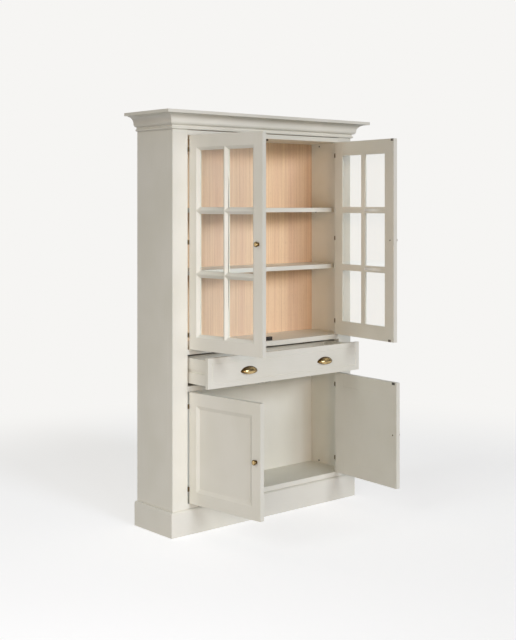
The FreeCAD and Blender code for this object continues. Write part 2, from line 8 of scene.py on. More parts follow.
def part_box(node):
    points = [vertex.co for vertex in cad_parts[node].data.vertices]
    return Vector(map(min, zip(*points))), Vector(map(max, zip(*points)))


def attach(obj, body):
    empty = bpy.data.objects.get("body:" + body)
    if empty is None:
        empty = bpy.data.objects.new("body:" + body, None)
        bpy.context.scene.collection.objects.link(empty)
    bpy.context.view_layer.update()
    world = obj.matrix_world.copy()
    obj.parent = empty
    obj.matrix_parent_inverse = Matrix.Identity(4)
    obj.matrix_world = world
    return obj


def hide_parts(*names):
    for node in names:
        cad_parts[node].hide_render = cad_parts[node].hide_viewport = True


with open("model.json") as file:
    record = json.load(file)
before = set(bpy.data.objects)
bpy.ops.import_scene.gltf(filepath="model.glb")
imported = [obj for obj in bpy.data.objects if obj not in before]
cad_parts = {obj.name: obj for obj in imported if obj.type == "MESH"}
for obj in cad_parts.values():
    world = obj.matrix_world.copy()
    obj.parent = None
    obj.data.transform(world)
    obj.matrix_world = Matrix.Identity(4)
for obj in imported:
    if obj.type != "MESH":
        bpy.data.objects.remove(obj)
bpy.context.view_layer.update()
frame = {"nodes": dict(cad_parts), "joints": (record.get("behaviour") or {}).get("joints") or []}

# The camera stands level, in front of the cabinet and to its left, as high as a standing
# person's chest. Its lens is shifted, so that upright edges stay upright in the picture.
LONG_SIDE = 640
SHORT_SIDE = 516
FOCAL_PIXELS = 1142.0
AXIS_PIXEL = (346.7, 204.66)
SENSOR_WIDTH_MM = 36.0
CAMERA_PLACE = (-3.6281, -4.6071, 1.5582)
TURN_DEG = 43.11
camera_data = bpy.data.cameras.new("photo_camera")
camera_data.sensor_width = SENSOR_WIDTH_MM
camera_data.lens = FOCAL_PIXELS / LONG_SIDE * camera_data.sensor_width
camera_data.shift_x = (SHORT_SIDE / 2 - AXIS_PIXEL[0]) / LONG_SIDE
camera_data.shift_y = (AXIS_PIXEL[1] - LONG_SIDE / 2) / LONG_SIDE
camera = bpy.data.objects.new("photo_camera", camera_data)
camera.location = CAMERA_PLACE
camera.rotation_euler = (math.radians(90), 0, math.radians(-TURN_DEG))
bpy.context.scene.collection.objects.link(camera)
bpy.context.scene.camera = camera
bpy.context.scene.view_settings.view_transform = "Standard"

# The room is a white studio. What the camera sees of it, through the panes too, is even and
# bright. Metal and glass mirror the bright backdrop behind the cabinet and the dimmer room in
# front of it. The backdrop also throws a little light forwards.
BACKDROP = "#F6F5F3"
ROOM_DIM = 0.16
ROOM_BRIGHT = 0.80
ROOM_DIM_FROM = -0.4
ROOM_BRIGHT_FROM = 0.6
BACK_GLOW = 0.45
GLOW_TOWARDS = (0.6, 0.8, 0.0)
GLOW_FULL_FROM = 0.9
HALF_A_BOUNCE = 0.5


def linear(hex_text):
    """A colour written as sRGB hex, as the linear numbers that shaders take."""
    parts = [int(hex_text[i:i + 2], 16) / 255 for i in (1, 3, 5)]
    return tuple(p / 12.92 if p <= 0.04045 else ((p + 0.055) / 1.055) ** 2.4 for p in parts) + (1.0,)


def add(tree, kind, sockets=None, **settings):
    """Add a shader node, make its settings, and fill or link its inputs by name or number."""
    new = tree.nodes.new(kind)
    for key, value in settings.items():
        setattr(new, key, value)
    for key, value in (sockets or {}).items():
        if isinstance(value, bpy.types.NodeSocket):
            tree.links.new(value, new.inputs[key])
        else:
            new.inputs[key].default_value = value
    return new


world = bpy.data.worlds.new("white_studio")
bpy.context.scene.world = world
world.use_nodes = True
tree = world.node_tree
tree.nodes.clear()
seen = add(tree, "ShaderNodeBackground", {"Color": linear(BACKDROP), "Strength": 1.0})
towards = add(tree, "ShaderNodeTexCoord")
split = add(tree, "ShaderNodeSeparateXYZ", {"Vector": towards.outputs["Generated"]})
brightness = add(tree, "ShaderNodeMapRange", {
    "Value": split.outputs["Y"], "From Min": ROOM_DIM_FROM, "From Max": ROOM_BRIGHT_FROM,
    "To Min": ROOM_DIM, "To Max": ROOM_BRIGHT}, interpolation_type="SMOOTHSTEP")
room = add(tree, "ShaderNodeBackground", {"Color": linear(BACKDROP), "Strength": brightness.outputs[0]})
away = add(tree, "ShaderNodeVectorMath", {0: towards.outputs["Generated"], 1: GLOW_TOWARDS},
           operation="DOT_PRODUCT")
behind = add(tree, "ShaderNodeMapRange", {
    "Value": away.outputs["Value"], "From Min": 0.0, "From Max": GLOW_FULL_FROM,
    "To Min": 0.0, "To Max": BACK_GLOW}, interpolation_type="SMOOTHSTEP")
glowing = add(tree, "ShaderNodeBackground", {"Color": linear(BACKDROP), "Strength": behind.outputs[0]})
path = add(tree, "ShaderNodeLightPath")
mirrored = add(tree, "ShaderNodeMath", {
    0: path.outputs["Is Glossy Ray"], 1: path.outputs["Is Transmission Ray"]},
    operation="SUBTRACT", use_clamp=True)
shiny = add(tree, "ShaderNodeMixShader", {0: mirrored.outputs[0], 1: seen.outputs[0], 2: room.outputs[0]})
scattered = add(tree, "ShaderNodeMath", {0: path.outputs["Diffuse Depth"], 1: HALF_A_BOUNCE},
                operation="GREATER_THAN")
pick = add(tree, "ShaderNodeMixShader", {0: scattered.outputs[0], 1: shiny.outputs[0], 2: glowing.outputs[0]})
add(tree, "ShaderNodeOutputWorld", {"Surface": pick.outputs[0]})
world.cycles.sampling_method = "NONE"

# The studio's floor is matt and pale and runs on into the backdrop, into which it fades a few
# steps away. Near the cabinet it holds a soft, slightly cool shadow. Light that has already
# scattered meets a plain matt floor with hardly any glow of its own.
FLOOR_SIZE = 60.0
FADE_FROM = 1.6
FADE_TO = 3.4
SHADOW_SHARE = 0.30
SHADED_FLOOR = (0.55, 0.56, 0.58, 1)
MATT_FLOOR = (0.60, 0.60, 0.60, 1)
WARM_BOUNCE = (1.0, 0.95, 0.88, 1)
BOUNCE_STRENGTH = 0.05


def blank_material(name):
    """A material with an empty node tree, and its output node."""
    made = bpy.data.materials.new(name)
    made.use_nodes = True
    made.node_tree.nodes.clear()
    return made, made.node_tree, made.node_tree.nodes.new("ShaderNodeOutputMaterial")


floor_mesh = bpy.data.meshes.new("studio_floor")
bm = bmesh.new()
bmesh.ops.create_grid(bm, x_segments=1, y_segments=1, size=FLOOR_SIZE)
bm.to_mesh(floor_mesh)
bm.free()
floor = bpy.data.objects.new("studio_floor", floor_mesh)
bpy.context.scene.collection.objects.link(floor)
floor_paint, tree, out = blank_material("matt_white_floor")
spot = add(tree, "ShaderNodeTexCoord")
reach = add(tree, "ShaderNodeVectorMath", {0: spot.outputs["Object"]}, operation="LENGTH")
fade = add(tree, "ShaderNodeMapRange", {
    "Value": reach.outputs["Value"], "From Min": FADE_FROM, "From Max": FADE_TO},
    interpolation_type="SMOOTHSTEP")
backdrop = add(tree, "ShaderNodeEmission", {"Color": linear(BACKDROP), "Strength": 1.0})
glow = add(tree, "ShaderNodeEmission", {"Color": linear(BACKDROP), "Strength": 1.0 - SHADOW_SHARE})
shaded = add(tree, "ShaderNodeBsdfDiffuse", {"Color": SHADED_FLOOR})
near = add(tree, "ShaderNodeAddShader", {0: glow.outputs[0], 1: shaded.outputs[0]})
shown = add(tree, "ShaderNodeMixShader", {0: fade.outputs[0], 1: near.outputs[0], 2: backdrop.outputs[0]})
matt = add(tree, "ShaderNodeBsdfDiffuse", {"Color": MATT_FLOOR})
bounce = add(tree, "ShaderNodeEmission", {"Color": WARM_BOUNCE, "Strength": BOUNCE_STRENGTH})
thrown = add(tree, "ShaderNodeMixShader", {0: fade.outputs[0], 1: matt.outputs[0], 2: bounce.outputs[0]})
path = add(tree, "ShaderNodeLightPath")
scattered = add(tree, "ShaderNodeMath", {0: path.outputs["Diffuse Depth"], 1: HALF_A_BOUNCE},
                operation="GREATER_THAN")
both = add(tree, "ShaderNodeMixShader", {0: scattered.outputs[0], 1: shown.outputs[0], 2: thrown.outputs[0]})
tree.links.new(both.outputs[0], out.inputs["Surface"])
floor_paint.cycles.emission_sampling = "NONE"
floor_mesh.materials.append(floor_paint)

# The main light comes from straight in front and a little above, low enough to reach the
# shelves' backs. A cool one stands beside it, a warm one further left, and a broad one comes
# down over the left side. Two round lamps stand nearer, at the left.
DISC_WIDTH = 1.3
DISC_AIM = (0, -0.2, 1.0)


def far_light(name, towards, strength, colour, spread_deg):
    """A far light that shines along a direction; the wider its spread, the softer its shadows."""
    data = bpy.data.lights.new(name, "SUN")
    data.energy = strength
    data.color = colour
    data.angle = math.radians(spread_deg)
    lamp = bpy.data.objects.new(name, data)
    lamp.rotation_euler = Vector(towards).to_track_quat("-Z", "Y").to_euler()
    lamp.visible_transmission = False
    bpy.context.scene.collection.objects.link(lamp)


def near_disc(name, place, watts, colour):
    """A round lamp near the cabinet, turned towards its middle."""
    data = bpy.data.lights.new(name, "AREA")
    data.shape = "DISK"
    data.size = DISC_WIDTH
    data.energy = watts
    data.color = colour
    lamp = bpy.data.objects.new(name, data)
    lamp.location = place
    lamp.rotation_euler = (Vector(DISC_AIM) - lamp.location).to_track_quat("-Z", "Y").to_euler()
    lamp.visible_transmission = False
    bpy.context.scene.collection.objects.link(lamp)


far_light("front_light", (0.0, 1.0, -0.35), 1.26, (0.843, 0.902, 1.0), 16)
far_light("front_fill", (0.3, 1.0, -0.19), 0.58, (0.831, 0.889, 1.0), 12)
far_light("warm_light", (0.6, 1.0, -0.22), 0.43, (1.0, 0.666, 0.397), 12)
far_light("high_left_light", (1.0, 0.0, -0.8), 0.50, (0.952, 1.0, 0.953), 28)
near_disc("side_disc", (-2.8, -2.3, 1.1), 28.0, (1.0, 0.944, 0.946))
near_disc("low_left_disc", (-3.2, -0.3, 0.4), 4.0, (1.0, 0.96, 0.95))

# Lacquered wood: satin sprayed lacquer, warm off-white, over hardwood frames and board. It
# gives a soft broad sheen, a faint orange peel, and a trace of grain along each piece.
LACQUER_PALE = "#E8E6DB"
LACQUER_DEEP = "#E2E0D3"
LACQUER_SHINIEST = 0.34
LACQUER_DULLEST = 0.42
LACQUER_IOR = 1.48
TONE_SIZE_MM = 260
GRAIN_WIDTH_MM = 1.6
GRAIN_LENGTH_MM = 70
GRAIN_HEIGHT = 0.00008
PEEL_SIZE_MM = 2.2
PEEL_HEIGHT = 0.00005
NOISE_LOW = 0.3
NOISE_HIGH = 0.7
GRAIN_LIES = {"upright": (0, 0, 0), "across": (0, math.radians(90), 0), "deep": (math.radians(90), 0, 0)}


def lacquer(name, lie, turn_deg=0):
    """Satin lacquer whose trace of grain lies upright, across or deep, on a piece turned about Z."""
    made, tree, out = blank_material(name)
    where = add(tree, "ShaderNodeTexCoord")
    turned = add(tree, "ShaderNodeMapping", {
        "Vector": where.outputs["Object"], "Rotation": (0, 0, math.radians(-turn_deg))})
    laid = add(tree, "ShaderNodeMapping", {"Vector": turned.outputs[0], "Rotation": GRAIN_LIES[lie]})
    drawn = add(tree, "ShaderNodeMapping", {
        "Vector": laid.outputs[0],
        "Scale": (1000 / GRAIN_WIDTH_MM, 1000 / GRAIN_WIDTH_MM, 1000 / GRAIN_LENGTH_MM)})
    grain = add(tree, "ShaderNodeTexNoise", {
        "Vector": drawn.outputs[0], "Scale": 1.0, "Detail": 3.0, "Roughness": 0.6})
    peel = add(tree, "ShaderNodeTexNoise", {
        "Vector": where.outputs["Object"], "Scale": 1000 / PEEL_SIZE_MM, "Detail": 1.0})
    tone = add(tree, "ShaderNodeTexNoise", {
        "Vector": where.outputs["Object"], "Scale": 1000 / TONE_SIZE_MM, "Detail": 2.0})
    tone_share = add(tree, "ShaderNodeMapRange", {
        "Value": tone.outputs[0], "From Min": 0.35, "From Max": 0.65})
    grain_share = add(tree, "ShaderNodeMapRange", {
        "Value": grain.outputs[0], "From Min": NOISE_LOW, "From Max": NOISE_HIGH,
        "To Min": -0.25, "To Max": 0.25})
    share = add(tree, "ShaderNodeMath", {0: tone_share.outputs[0], 1: grain_share.outputs[0]},
                operation="ADD", use_clamp=True)
    colour = add(tree, "ShaderNodeMix", {
        "Factor": share.outputs[0], 6: linear(LACQUER_DEEP), 7: linear(LACQUER_PALE)}, data_type="RGBA")
    sheen = add(tree, "ShaderNodeMapRange", {
        "Value": grain.outputs[0], "From Min": NOISE_LOW, "From Max": NOISE_HIGH,
        "To Min": LACQUER_SHINIEST, "To Max": LACQUER_DULLEST})
    grained = add(tree, "ShaderNodeBump", {
        "Height": grain.outputs[0], "Strength": 0.35, "Distance": GRAIN_HEIGHT})
    peeled = add(tree, "ShaderNodeBump", {
        "Height": peel.outputs[0], "Strength": 0.25, "Distance": PEEL_HEIGHT, "Normal": grained.outputs[0]})
    shader = add(tree, "ShaderNodeBsdfPrincipled", {
        "Base Color": colour.outputs[2], "Roughness": sheen.outputs[0], "Normal": peeled.outputs[0],
        "IOR": LACQUER_IOR})
    tree.links.new(shader.outputs[0], out.inputs["Surface"])
    return made


# Every joiner's edge is eased before it is lacquered. A small rounding on each sharp edge
# catches the light, while mouldings and turned parts stay smooth.
EASED_EDGE = 0.0009
SHARP_ANGLE = math.radians(24)
FLAT_ANGLE = math.radians(0.5)
SEAM_GAP = 0.00002
eased_shading = bpy.data.node_groups.new("eased_shading", "GeometryNodeTree")
eased_shading.interface.new_socket("Geometry", in_out="INPUT", socket_type="NodeSocketGeometry")
eased_shading.interface.new_socket("Geometry", in_out="OUTPUT", socket_type="NodeSocketGeometry")
came = add(eased_shading, "NodeGroupInput")
faces_smooth = add(eased_shading, "GeometryNodeSetShadeSmooth", {
    "Geometry": came.outputs[0], "Shade Smooth": True})
edge_angle = add(eased_shading, "GeometryNodeInputMeshEdgeAngle")
gentle = add(eased_shading, "FunctionNodeCompare", {0: edge_angle.outputs[0], 1: SHARP_ANGLE},
             data_type="FLOAT", operation="LESS_EQUAL")
edges_smooth = add(eased_shading, "GeometryNodeSetShadeSmooth", {
    "Geometry": faces_smooth.outputs[0], "Shade Smooth": gentle.outputs[0]}, domain="EDGE")
add(eased_shading, "NodeGroupOutput", {0: edges_smooth.outputs[0]})


def ease(obj, width):
    """Join the loose triangles of a solid, round its sharp edges and keep its flats flat."""
    weld = obj.modifiers.new("joined", "WELD")
    weld.merge_threshold = SEAM_GAP
    flat = obj.modifiers.new("flats", "DECIMATE")
    flat.decimate_type = "DISSOLVE"
    flat.angle_limit = FLAT_ANGLE
    if width:
        rounding = obj.modifiers.new("eased_edges", "BEVEL")
        rounding.width = width
        rounding.segments = 2
        rounding.limit_method = "ANGLE"
        rounding.angle_limit = SHARP_ANGLE
        rounding.use_clamp_overlap = True
    shading = obj.modifiers.new("shading", "NODES")
    shading.node_group = eased_shading
    normals = obj.modifiers.new("flat_normals", "WEIGHTED_NORMAL")
    normals.keep_sharp = True


def finish_nodes(names, material, width=EASED_EDGE):
    """Give CAD pieces their finish and their eased edges."""
    for name in names:
        obj = frame["nodes"][name]
        obj.data.materials.clear()
        obj.data.materials.append(material)
        ease(obj, width)


# The carcass: two sides and two face stiles stand on the floor, with four boards between
# them. All are lacquered; the grain of the uprights stands, that of the boards runs across.
upright_lacquer = lacquer("lacquered_upright", "upright")
across_lacquer = lacquer("lacquered_across", "across")
deep_lacquer = lacquer("lacquered_deep", "deep")
finish_nodes(("side_panel_left", "side_panel_right", "front_stile_left", "front_stile_right",
              "lower_back_panel"), upright_lacquer)
finish_nodes(("bottom_board", "divider_board", "middle_board", "top_board", "display_shelves",
              "plinth_braces"), across_lacquer)

# Plinth and cornice: moulded boards, mitred at the front corners and lacquered with the
# rest. The cove of the cornice is smooth, its quirks and arrises crisp.
CRISP_EDGE = 0.0007
finish_nodes(("plinth_front", "cornice_front", "cornice_cap"), across_lacquer, CRISP_EDGE)
finish_nodes(("plinth_returns", "cornice_returns"), deep_lacquer, CRISP_EDGE)

# The display's back is an oak veneer, oiled: straight vertical grain in leaves laid side by
# side, pinkish to honey, with dark pores and a soft low sheen. The pores are drawn wider than
# real ones, so that they show from where the camera stands.
OAK_HONEY = "#F3D6B2"
OAK_PINK = "#EAC7A8"
OAK_DARK = "#BC8C6A"
OAK_PORE = "#9B7051"
OAK_IOR = 1.48
OAK_SHINIEST = 0.54
OAK_DULLEST = 0.66
LEAF_WIDTH_MM = 105
RING_WIDTH_MM = 6
PORE_WIDTH_MM = 0.9
PORE_LENGTH_MM = 22
PORE_DEPTH = 0.0001
oak, tree, out = blank_material("oiled_oak_veneer")
where = add(tree, "ShaderNodeTexCoord")
bands_place = add(tree, "ShaderNodeMapping", {
    "Vector": where.outputs["Object"], "Scale": (1000 / LEAF_WIDTH_MM, 1.0, 0.35)})
leaf = add(tree, "ShaderNodeTexNoise", {
    "Vector": bands_place.outputs[0], "Scale": 1.0, "Detail": 2.0, "Roughness": 0.55, "Distortion": 0.3})
ring_place = add(tree, "ShaderNodeMapping", {
    "Vector": where.outputs["Object"], "Scale": (1000 / RING_WIDTH_MM, 1.0, 1.1)})
ring = add(tree, "ShaderNodeTexNoise", {
    "Vector": ring_place.outputs[0], "Scale": 1.0, "Detail": 4.0, "Roughness": 0.7, "Distortion": 0.5})
pore_place = add(tree, "ShaderNodeMapping", {
    "Vector": where.outputs["Object"], "Scale": (1000 / PORE_WIDTH_MM, 1.0, 1000 / PORE_LENGTH_MM)})
pore = add(tree, "ShaderNodeTexNoise", {"Vector": pore_place.outputs[0], "Scale": 1.0, "Detail": 2.0})
leaf_share = add(tree, "ShaderNodeMapRange", {
    "Value": leaf.outputs[0], "From Min": 0.32, "From Max": 0.68})
ground = add(tree, "ShaderNodeMix", {
    "Factor": leaf_share.outputs[0], 6: linear(OAK_PINK), 7: linear(OAK_HONEY)}, data_type="RGBA")
ring_share = add(tree, "ShaderNodeMapRange", {
    "Value": ring.outputs[0], "From Min": 0.46, "From Max": 0.72, "To Max": 0.52})
ringed = add(tree, "ShaderNodeMix", {
    "Factor": ring_share.outputs[0], 6: ground.outputs[2], 7: linear(OAK_DARK)}, data_type="RGBA")
pore_share = add(tree, "ShaderNodeMapRange", {
    "Value": pore.outputs[0], "From Min": 0.60, "From Max": 0.74, "To Max": 0.5})
pored = add(tree, "ShaderNodeMix", {
    "Factor": pore_share.outputs[0], 6: ringed.outputs[2], 7: linear(OAK_PORE)}, data_type="RGBA")
oak_bump = add(tree, "ShaderNodeBump", {
    "Height": pore_share.outputs[0], "Strength": 0.4, "Distance": PORE_DEPTH}, invert=True)
oiled = add(tree, "ShaderNodeMapRange", {
    "Value": ring.outputs[0], "From Min": NOISE_LOW, "From Max": NOISE_HIGH,
    "To Min": OAK_SHINIEST, "To Max": OAK_DULLEST})
oak_shader = add(tree, "ShaderNodeBsdfPrincipled", {
    "Base Color": pored.outputs[2], "Roughness": oiled.outputs[0], "Normal": oak_bump.outputs[0],
    "IOR": OAK_IOR, "Specular IOR Level": 0.3})
tree.links.new(oak_shader.outputs[0], out.inputs["Surface"])
finish_nodes(("display_back_panel",), oak, 0)

# The shelf pins are short pegs of plated steel, pushed into the sides: a cool grey with soft
# glints. The small screws and the plates further down are made of the same steel.
METAL_RELIEF = 0.0001


def metal(name, high_hex, low_hex, low_rough, high_rough, blotch_mm, wear_and_highlight=False):
    """A metal whose colour and roughness wander between two values, in blotches."""
    made, tree, out = blank_material(name)
    where = add(tree, "ShaderNodeTexCoord")
    blotch = add(tree, "ShaderNodeTexNoise", {
        "Vector": where.outputs["Object"], "Scale": 1000 / blotch_mm, "Detail": 4.0, "Roughness": 0.6})
    share = add(tree, "ShaderNodeMapRange", {
        "Value": blotch.outputs[0], "From Min": NOISE_LOW, "From Max": NOISE_HIGH})
    # A value set on the vertices of some pieces lifts the colour towards the bright brass. On the knobs this
    # is wear where fingers touch. On the cup pulls it is partly wear and partly a painted highlight.
    if wear_and_highlight:
        wear_and_highlight_value = add(tree, "ShaderNodeAttribute", attribute_name="wear_and_highlight")
        wear_and_highlight_lift = add(tree, "ShaderNodeMath", {0: wear_and_highlight_value.outputs["Fac"], 1: 0.35}, operation="SUBTRACT")
        share = add(tree, "ShaderNodeMath", {0: share.outputs[0], 1: 0.5, 2: wear_and_highlight_lift.outputs[0]},
                    operation="MULTIPLY_ADD", use_clamp=True)
    colour = add(tree, "ShaderNodeMix", {
        "Factor": share.outputs[0], 6: linear(low_hex), 7: linear(high_hex)}, data_type="RGBA")
    rough = add(tree, "ShaderNodeMapRange", {
        "Value": share.outputs[0], "To Min": high_rough, "To Max": low_rough})
    bump = add(tree, "ShaderNodeBump", {
        "Height": blotch.outputs[0], "Strength": 0.2, "Distance": METAL_RELIEF})
    shader = add(tree, "ShaderNodeBsdfPrincipled", {
        "Base Color": colour.outputs[2], "Roughness": rough.outputs[0], "Metallic": 1.0,
        "Normal": bump.outputs[0]})
    tree.links.new(shader.outputs[0], out.inputs["Surface"])
    return made


plated_steel = metal("zinc_plated_steel", "#8C8882", "#5E5A55", 0.32, 0.5, 6)
finish_nodes(("shelf_pins",), plated_steel, 0)

# The frame's hinge leaves, with their pins, and the doors' leaves are antique brass, darkened
# almost to brown. They sit in the gap beside each door and show only as small marks.
hinge_brass = metal("antique_brass_hinges", "#7A6746", "#40362A", 0.34, 0.5, 5)
finish_nodes(("frame_hinge_leaves",), hinge_brass, 0)

# The magnetic catches are moulded plastic blocks, screwed to the boards. The plastic is dark
# brown, almost black, and matt, with a fine grain that breaks up its highlight.
PLASTIC_LIGHT = "#2A2320"
PLASTIC_DARK = "#17120E"
PLASTIC_GRAINS_PER_METRE = 1400.0
MOULDED_EDGE = 0.0008
catch_plastic, tree, out = blank_material("moulded_dark_plastic")
where = add(tree, "ShaderNodeTexCoord")
spark = add(tree, "ShaderNodeTexNoise", {
    "Vector": where.outputs["Object"], "Scale": PLASTIC_GRAINS_PER_METRE, "Detail": 2.0})
plastic_colour = add(tree, "ShaderNodeMix", {
    "Factor": spark.outputs[0], 6: linear(PLASTIC_DARK), 7: linear(PLASTIC_LIGHT)}, data_type="RGBA")
plastic_bump = add(tree, "ShaderNodeBump", {
    "Height": spark.outputs[0], "Strength": 0.3, "Distance": 0.00005})
plastic = add(tree, "ShaderNodeBsdfPrincipled", {
    "Base Color": plastic_colour.outputs[2], "Roughness": 0.5, "Normal": plastic_bump.outputs[0], "IOR": 1.5})
tree.links.new(plastic.outputs[0], out.inputs["Surface"])
finish_nodes(("door_catches",), catch_plastic, MOULDED_EDGE)

# The drawer is four lacquered boards and a thin bottom. It slides on two runners of waxed
# beech, yellowish and dully shining, with short flecks along the grain.
BEECH_LIGHT = "#CDB48C"
BEECH_DARK = "#B0936B"
FLECKS_PER_METRE = (400, 30, 900)
RUNNER_EDGE = 0.0005
beech, tree, out = blank_material("waxed_beech")
where = add(tree, "ShaderNodeTexCoord")
fleck_place = add(tree, "ShaderNodeMapping", {"Vector": where.outputs["Object"], "Scale": FLECKS_PER_METRE})
fleck = add(tree, "ShaderNodeTexNoise", {"Vector": fleck_place.outputs[0], "Scale": 1.0, "Detail": 3.0})
beech_colour = add(tree, "ShaderNodeMix", {
    "Factor": fleck.outputs[0], 6: linear(BEECH_DARK), 7: linear(BEECH_LIGHT)}, data_type="RGBA")
beech_bump = add(tree, "ShaderNodeBump", {"Height": fleck.outputs[0], "Strength": 0.2, "Distance": 0.0001})
waxed = add(tree, "ShaderNodeBsdfPrincipled", {
    "Base Color": beech_colour.outputs[2], "Roughness": 0.45, "Normal": beech_bump.outputs[0]})
tree.links.new(waxed.outputs[0], out.inputs["Surface"])
finish_nodes(("drawer_runners",), beech, RUNNER_EDGE)
finish_nodes(("drawer_front", "drawer_back", "drawer_bottom"), across_lacquer)
finish_nodes(("drawer_side_left", "drawer_side_right"), deep_lacquer)

# The doors hang open on their pins. Their frames are lacquered hardwood, stiles with upright
# grain and rails with grain along the rail; the panels below are lacquered board.
BAR_EDGE = 0.0006
STRIKE_EDGE = 0.0003
hinges = [joint for joint in frame["joints"] if joint["type"] == "hinge"]
opened = {joint["child"]: -joint["range_deg"][0] for joint in hinges}
pins = {joint["child"]: Vector(joint["pos_m"]) for joint in hinges}
for door, angle in opened.items():
    turn = -angle if "left" in door else angle
    rails = lacquer(f"lacquered_rails_{door}", "across", turn)
    finish_nodes((f"{door}_hinge_stile", f"{door}_meeting_stile"), upright_lacquer)
    finish_nodes((f"{door}_rails",), rails)
    if "upper" in door:
        finish_nodes((f"{door}_glazing_bars", f"{door}_glazing_beads"), upright_lacquer, BAR_EDGE)
        finish_nodes((f"{door}_strike_plates",), plated_steel, STRIKE_EDGE)
    else:
        finish_nodes((f"{door}_panel",), upright_lacquer, 0)
        finish_nodes((f"{door}_strike_plate",), plated_steel, STRIKE_EDGE)
    finish_nodes((f"{door}_hinge_leaves",), hinge_brass, 0)

# The panes are clear float glass, 4 mm thick and polished, set with a hair's gap between the
# rebate and the beads. Lamps shine through them, and they give back a faint cool reflection.
GLASS_TINT = "#FCFEFD"
GLASS_SHADOW = "#F4F8F7"
WIPED_PATCHES_PER_METRE = 14.0
WIPED_ROUGHNESS = 0.008
FITTING_GAP = -0.0003
glass, tree, out = blank_material("clear_float_glass")
where = add(tree, "ShaderNodeTexCoord")
film = add(tree, "ShaderNodeTexNoise", {
    "Vector": where.outputs["Object"], "Scale": WIPED_PATCHES_PER_METRE, "Detail": 2.0})
wiped = add(tree, "ShaderNodeMapRange", {
    "Value": film.outputs[0], "To Min": 0.0, "To Max": WIPED_ROUGHNESS})
clear = add(tree, "ShaderNodeBsdfPrincipled", {
    "Base Color": linear(GLASS_TINT), "Roughness": wiped.outputs[0], "Transmission Weight": 1.0, "IOR": 1.5})
through = add(tree, "ShaderNodeBsdfTransparent", {"Color": linear(GLASS_SHADOW)})
path = add(tree, "ShaderNodeLightPath")
lit = add(tree, "ShaderNodeMixShader", {
    0: path.outputs["Is Shadow Ray"], 1: clear.outputs[0], 2: through.outputs[0]})
tree.links.new(lit.outputs[0], out.inputs["Surface"])
for door in opened:
    if "upper" in door:
        finish_nodes((f"{door}_glass_panes",), glass, 0)
        shrunk = frame["nodes"][f"{door}_glass_panes"].modifiers.new("fitting_gap", "DISPLACE")
        shrunk.strength = FITTING_GAP
        shrunk.mid_level = 0.0

# Knobs: solid brass, turned on a lathe, aged dark and rubbed bright where fingers touch. Each
# has a stepped rose against the stile, a waisted neck and a domed head with a fine ring. A
# slotted screw holds it from inside the door.
KNOB_FROM_EDGE = 0.028
DOOR_FRONT = 0.004
DOOR_BACK = 0.026
DOOR_FREE_EDGE = 0.483
KNOB_STEPS = 40
KNOB_PROFILE_MM = (
    (0, 0), (9, 0), (9, 0.9), (8.5, 1.5), (7.4, 1.8), (7.1, 2.3), (5.9, 2.9), (5.0, 3.9), (4.5, 5.4),
    (4.5, 6.6), (5.0, 7.9), (6.4, 9.1), (8.9, 9.9), (11.1, 10.7), (12.2, 11.9), (12.5, 13.3),
    (12.4, 14.7), (11.7, 16.3), (10.5, 17.6), (9.3, 18.4), (8.8, 18.4), (8.4, 18.8), (6.8, 19.7),
    (4.6, 20.4), (2.3, 20.8), (0, 20.9))
ROSE_TOP_MM = 1.6
RIM_FROM_MM = 14
RIM_INSIDE_MM = 9.6
CROWN_FROM_MM = 18.7
BACKWARDS = Matrix.Rotation(math.radians(-90), 4, "X")
SEAM_JOINED = 0.000004
aged_brass = metal("aged_brass", "#E6C993", "#57411F", 0.18, 0.42, 7, wear_and_highlight=True)


def fitting(name, bm, material, body):
    """Close a piece's seams, turn its faces outwards and hang it on its body."""
    bmesh.ops.remove_doubles(bm, verts=bm.verts, dist=SEAM_JOINED)
    bmesh.ops.recalc_face_normals(bm, faces=bm.faces)
    mesh = bpy.data.meshes.new(name)
    bm.to_mesh(mesh)
    bm.free()
    mesh.materials.append(material)
    piece = bpy.data.objects.new(name, mesh)
    bpy.context.scene.collection.objects.link(piece)
    shading = piece.modifiers.new("shading", "NODES")
    shading.node_group = eased_shading
    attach(piece, body)
    return piece


def on_door(door):
    """The place of a thing that is laid out on a closed left-hand door, measured from its pin."""
    pin = pins[door]
    if "left" in door:
        swing = Matrix.Rotation(math.radians(-opened[door]), 4, "Z")
    else:
        swing = Matrix.Rotation(math.radians(opened[door]), 4, "Z") @ Matrix.Diagonal((-1, 1, 1, 1))
    return Matrix.Translation((pin.x, pin.y, 0)) @ swing


def set_in(bm, mesh, place):
    """Add a copy of a small mesh at a place."""
    before = len(bm.verts)
    bm.from_mesh(mesh)
    bm.verts.ensure_lookup_table()
    bmesh.ops.transform(bm, matrix=place, verts=bm.verts[before:])


def parts_of(made, kind):
    """The verts or the edges among what a mesh operator made."""
    return [part for part in made if isinstance(part, kind)]


